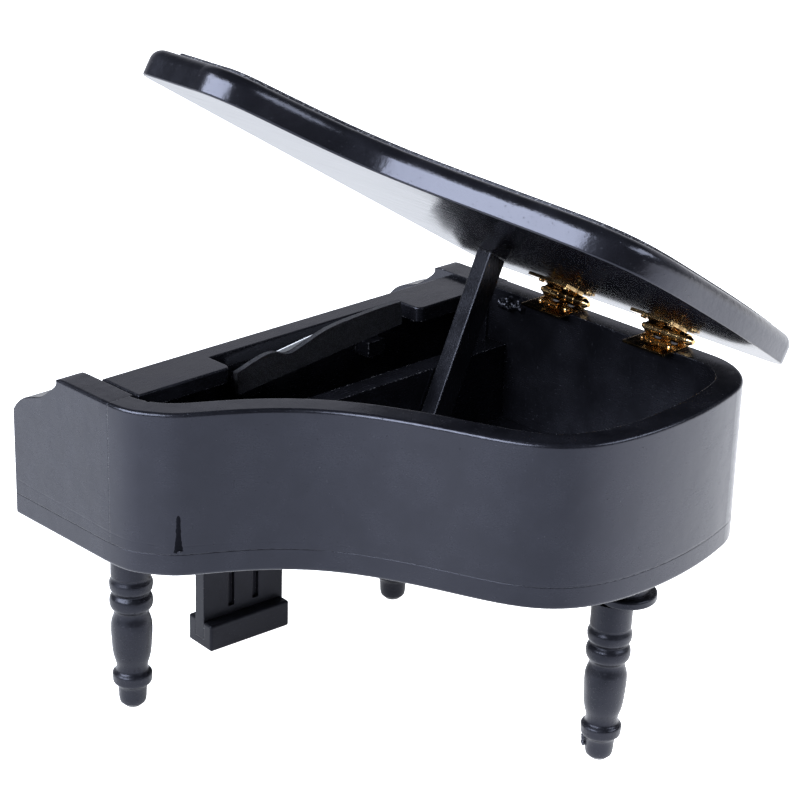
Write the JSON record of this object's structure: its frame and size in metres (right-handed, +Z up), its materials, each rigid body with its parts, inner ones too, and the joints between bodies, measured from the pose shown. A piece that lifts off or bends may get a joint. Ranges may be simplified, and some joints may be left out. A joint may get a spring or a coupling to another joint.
{
  "type": "miniature grand piano",
  "caption": "Dolls-house grand piano in black lacquered wood, with turned legs, a hinged lid held open by a folding prop stick, keys and a pedal lyre.",
  "frame": {"origin": "on the floor, under the middle of the piano's box with the lid propped open", "axes": "+X to the treble side, where the bent side is; +Y to the tail; +Z up"},
  "size_m": [0.1444, 0.1455, 0.1814],
  "materials": {
    "black_lacquer": "gloss black lacquer over wood",
    "grained_black": "coarse grained black paint",
    "ivory_paint": "satin white paint over wood",
    "white_card": "matt white card",
    "brass": "stamped antique brass",
    "steel_pin": "blackened steel pin"
  },
  "bodies": {
    "case": {"bass_cheek": "black_lacquer", "bass_leg": "black_lacquer", "bass_leg_plinth": "black_lacquer", "belly_rail": "black_lacquer", "black_keys": "black_lacquer", "bottom_board": "black_lacquer", "case_hinge_nails": "brass", "case_rim": "black_lacquer", "desk_blocks": "black_lacquer", "fallboard": "black_lacquer", "front_board": "black_lacquer", "front_hinge_lower_leaf": "brass", "front_hinge_pin": "brass", "key_block": "black_lacquer", "key_slip": "black_lacquer", "lyre_base": "black_lacquer", "lyre_board": "black_lacquer", "music_card": "white_card", "music_desk": "grained_black", "prop_pin": "steel_pin", "rear_hinge_lower_leaf": "brass", "rear_hinge_pin": "brass", "tail_leg": "black_lacquer", "tail_leg_plinth": "black_lacquer", "treble_cheek": "black_lacquer", "treble_leg": "black_lacquer", "treble_leg_plinth": "black_lacquer", "white_keys": "ivory_paint"},
    "lid": {"lid": "black_lacquer", "lid_hinge_nails": "brass", "front_hinge_upper_leaf": "brass", "rear_hinge_upper_leaf": "brass"},
    "prop": {"prop_stick": "black_lacquer"}
  },
  "joints": [
    {"name": "lid_hinge", "type": "hinge", "parent": "case", "child": "lid", "pos_m": [-0.06654, 0.0085, 0.1013], "axis": [0, -1, 0], "range_deg": [-31.3, 0]},
    {"name": "prop_fold", "type": "hinge", "parent": "case", "child": "prop", "pos_m": [-0.0289, -0.02295, 0.0666], "axis": [0, 1, 0], "range_deg": [0, 114]}
  ],
  "couplings": [
    {"joint": "prop_fold", "follows": "lid_hinge", "ratio": -3.642}
  ]
}
